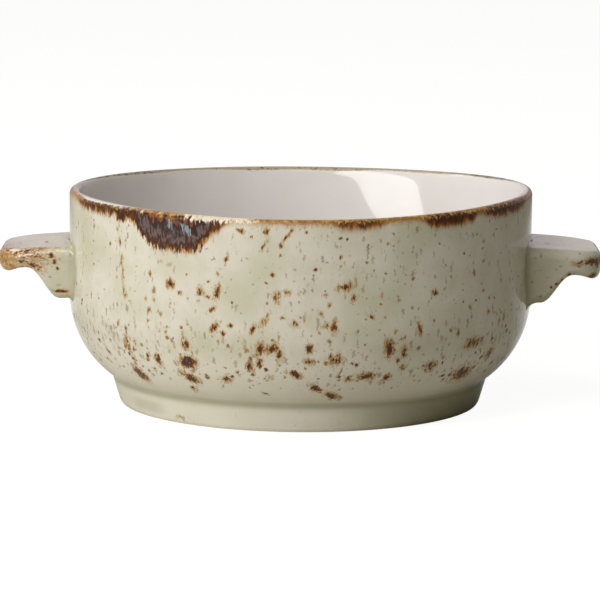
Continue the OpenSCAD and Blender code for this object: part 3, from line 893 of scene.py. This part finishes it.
# faces of sections that follow each other, closed with a fan at both ends or run round into a ring
def loftFaces(stations, count, ring):
    index = np.arange(stations * count).reshape(stations, count)
    beside = np.roll(index, -1, axis=1)
    after = np.roll(index, -1, axis=0)
    quads = np.stack([index, after, np.roll(after, -1, axis=1), beside], -1)
    if ring:
        return quads.reshape(-1, 4).tolist()
    return quads[:-1].reshape(-1, 4).tolist() + [index[0].tolist(), index[-1][::-1].tolist()]


# marks of each lug, mirrored to the right hand side: place, half sizes and depth of colour
lugMarks = {
    "left": [(74.6, -16, 42, 8.4, 3, 2.2, 0.38), (79.6, -9, 40, 4.4, 9, 4.6, 0.36),
             (76.5, -16.6, 38.8, 6.4, 3, 2.6, 0.36), (71, -16.8, 38.4, 3.4, 2.4, 1.4, 0.36),
             (66.6, -16.8, 41.6, 0.8, 2, 1.1, 0.8), (65.7, -16.8, 39.8, 0.6, 2, 1.2, 0.75),
             (64.9, -16.8, 38, 0.5, 2, 1, 0.65), (63.8, -16.2, 31.9, 2.1, 3, 0.6, 0.9),
             (80, 8, 40, 2, 6, 2.4, 0.6)],
    "right": [(78, -13.5, 40.4, 2.2, 4, 1.2, 0.75), (79.6, -10, 40, 1.2, 4, 1.6, 0.75),
              (78.6, -13, 36.6, 1.6, 4, 0.9, 0.95), (74.6, -15.5, 40.2, 1.8, 3, 0.7, 0.45),
              (80.4, 7, 40, 1.6, 5, 2.2, 0.7)],
}
lugDots = {
    "left": [(68.6, -4.0, 43.2, 0.7)],
    "right": [(66.6, -5, 43.9, 0.9), (72, -16, 37.3, 0.7), (73.2, -16, 36.8, 0.7),
              (70.2, -16.4, 35.9, 0.7), (69.5, -16.4, 34.6, 0.65), (68.7, -16.4, 34.6, 0.6),
              (70.1, -16.4, 34.8, 0.6), (68.6, -16.4, 33.1, 0.7), (67.2, -16.4, 33.9, 0.55)],
}
# how a lug's glaze varies: ochre under the tip, and green pooled glaze with painted shade round the root
# and towards it, over the reach from the axis
lugGlaze = {"ochre": ((ramp, "reach", 70, 7), (ramp, "height", 42.4, -1.2)),
            "green": (ramp, "reach", 76, -12), "root": (0.5, (hump, "root", 0, 1.5, 2)),
            "rootBend": 0.01, "drawn": (0.5, 1, 0.9), "speck": 0.55, "markFall": 1.4, "dotDepth": 1.4,
            "dotFall": 1.6, "dotLong": 3}


def lugFields(points, side):
    fit = lugSides[side]
    reach = np.abs(points[:, 0])
    y, z = points[:, 1], points[:, 2]
    spot = np.full(len(points), noSpot)
    for markX, markY, markZ, sizeX, sizeY, sizeZ, depth in lugMarks[side]:
        gap = ((reach - markX) / sizeX) ** 2 + ((y - markY) / sizeY) ** 2 + ((z - markZ) / sizeZ) ** 2
        spot = np.maximum(spot, depth * spotGain * (1 - gap ** (lugGlaze["markFall"] / 2)))
    for dotX, dotY, dotZ, size in lugDots[side]:
        gap = (reach - dotX) ** 2 + ((y - dotY) / lugGlaze["dotLong"]) ** 2 + (z - dotZ) ** 2
        spot = np.maximum(spot, lugGlaze["dotDepth"] - lugGlaze["dotFall"] * np.sqrt(gap) / size)
    at = {"reach": reach, "height": z, "root": reach - bellyRadius + lugGlaze["rootBend"] * y ** 2}
    fields = plainFields(points * np.array(lugGlaze["drawn"]), lugGlaze["speck"])
    fields["spot"] = spot
    fields["rim"] = sumOf([(fit["ochre"], *lugGlaze["ochre"])], at) - 1
    fields["poolAndShade"] = sumOf([lugGlaze["root"], (fit["green"], lugGlaze["green"])], at)
    return fields


# pieces of each lug: the coat, the pressed clay under it, and between them a collar of the slip that was
# wiped round the root; the left lug is mirrored and its faces are turned over
noFillets = (0.01, 0.01)
start = bellyRadius - lug["inWall"]
spread = np.sin(np.linspace(0, pi / 2, lug["stations"]))
outward = np.linspace(bellyRadius - glaze, bellyRadius + lug["slip"], lug["slipStations"])
for side, fit in lugSides.items():
    toSide = np.array([fit["sign"], 1, 1])
    coat = lugSurface(start + (lug["reach"] - start) * spread, 0, (lug["fillet"], fit["underFillet"]), fit)
    tab = lugSurface(start + (lug["reach"] - glaze - start) * spread, glaze, noFillets, fit)
    collar = lugSurface(outward, glaze / 2, (lug["fillet"], lug["fillet"]), fit)
    core = lugSurface(outward[::-1], glaze, noFillets, fit)
    fields = lugFields(coat.reshape(-1, 3) * toSide, side)
    pieces = (
        ("_lug_coat", coat, False, fields, reactiveGlaze, "_lug_glaze", "green_glaze"),
        ("_lug_clay", tab, False, {}, bareClay, "_lug", "clay"),
        ("_lug_joint", np.vstack([collar, core]), True, {}, fillerClay, "_lug_slip", "slip"),
    )
    for name, surface, ring, fields, material, node, slot in pieces:
        faces = loftFaces(*surface.shape[:2], ring)
        if fit["sign"] < 0:
            faces = [face[::-1] for face in faces]
        addPiece(side + name, surface.reshape(-1, 3) * toSide, faces, fields, material, side + node)
print("lugs made")

# floor: pale and plain, and it keeps the bowl's shadow; the camera sees it white, and mirrored in the
# glaze it is bright only in a round place behind the bowl; sizes in metres
table = {"size": 6.0, "colour": "#cbc8bb", "glow": 1.31, "seen": 0.72, "behind": (0.01, 0.24, 0),
         "bright": {"From Min": 0.27, "From Max": 0.12, "To Max": 0.62}}
corners = [(-1, -1, 0), (1, -1, 0), (1, 1, 0), (-1, 1, 0)]
mesh = bpy.data.meshes.new("floor")
mesh.from_pydata((np.array(corners) * table["size"]).tolist(), [], [[0, 1, 2, 3]])
floor = bpy.data.objects.new("floor", mesh)
scene.collection.objects.link(floor)
material, add = newMaterial("white table")
path = add("LightPath").outputs
place = add("TexCoord").outputs["Object"]
away = add("VectorMath", {0: place, 1: table["behind"]}, operation="DISTANCE")
bright = add("MapRange", {"Value": away, **table["bright"]}, interpolation_type="SMOOTHSTEP")
inGlaze = add("Math", {0: path["Is Glossy Ray"], 1: bright}, operation="MULTIPLY")
seen = add("Math", {0: path["Is Camera Ray"], 1: table["seen"]}, operation="MULTIPLY")
lit = add("Math", {0: seen, 1: inGlaze}, operation="MAXIMUM")
matt = add("BsdfDiffuse", {"Color": linear(table["colour"])})
glow = add("Emission", {"Color": (1, 1, 1, 1), "Strength": table["glow"]})
add("OutputMaterial", {"Surface": add("MixShader", {0: lit, 1: matt, 2: glow})})
mesh.materials.append(material)

# studio: a large low soft box at the left front, a second high over the front and a third high behind at
# the left, a weak even surround and a white background; angles in degrees, sizes in metres
studio = {
    "boxes": {
        "key": {"turn": -54.5, "rise": 15.0, "distance": 1.3, "width": 0.505, "height": 1.82, "tilt": -46.0,
                "power": 17.1},
        "top": {"turn": -23.0, "rise": 58.0, "distance": 1.2, "width": 0.85, "height": 0.6, "tilt": 0.0,
                "power": 4.8},
        "side": {"turn": -125.0, "rise": 46.0, "distance": 1.2, "width": 0.5, "height": 0.42, "tilt": 0.0,
                 "power": 2.6},
    },
    "aim": (0, 0, 0.03),
    "surround": 0.087,
    "reflection": 0.64,
    "tint": "#fff4f6",
    "fillTint": "#fdf5df",
    "background": 1.0,
}


# puts a lamp or the camera round the aim, looking at it
def addAimed(name, data, turn, rise, distance, tilt):
    a, e = radians(turn), radians(rise)
    away = Vector((sin(a) * cos(e), -cos(a) * cos(e), sin(e)))
    thing = bpy.data.objects.new(name, data)
    thing.location = Vector(studio["aim"]) + away * distance
    thing.rotation_mode = "QUATERNION"
    thing.rotation_quaternion = (-away).to_track_quat("-Z", "Y") @ Quaternion((0, 0, 1), radians(tilt))
    scene.collection.objects.link(thing)
    return thing


for name, box in studio["boxes"].items():
    data = bpy.data.lights.new(name + " soft box", "AREA")
    data.shape = "RECTANGLE"
    data.size, data.size_y, data.energy = box["width"], box["height"], box["power"]
    addAimed(data.name, data, box["turn"], box["rise"], box["distance"], box["tilt"])
world = bpy.data.worlds.new("studio")
scene.world = world
world.use_nodes = True
world.node_tree.nodes.clear()
add = partial(addNode, world.node_tree)
path = add("LightPath").outputs
mirror = add("MapRange", {"Value": path["Is Glossy Ray"], "To Min": studio["surround"],
                          "To Max": studio["reflection"]})
seen = add("Math", {0: path["Is Camera Ray"], 1: path["Is Transmission Ray"]}, operation="MAXIMUM")
level = add("MapRange", {"Value": seen, "To Min": mirror, "To Max": studio["background"]})
fill = add("Mix", {"Factor": seen, "A": linear(studio["fillTint"]), "B": (1, 1, 1, 1)}, data_type="RGBA")
tinted = add("Mix", {"Factor": path["Is Glossy Ray"], "A": fill, "B": linear(studio["tint"])},
             data_type="RGBA")
glow = add("Background", {"Color": tinted, "Strength": level})
add("OutputWorld", {"Surface": glow})

# camera: long lens from the front, a little above the rim; pixels are of the 600 by 600 image
view = {"imageSize": 600, "focalPixels": 3414.0, "distance": 0.930, "rise": 8.73, "roll": 0.45,
        "aimPixel": (300.09, 290.63), "farEnd": 20}
data = bpy.data.cameras.new("camera")
data.lens = data.sensor_width * view["focalPixels"] / view["imageSize"]
data.shift_x = (view["imageSize"] / 2 - view["aimPixel"][0]) / view["imageSize"]
data.shift_y = (view["aimPixel"][1] - view["imageSize"] / 2) / view["imageSize"]
data.clip_end = view["farEnd"]
camera = addAimed("camera", data, 0, view["rise"], view["distance"], view["roll"])
scene.camera = camera
scene.view_settings.view_transform = "Standard"
print("studio and camera made")
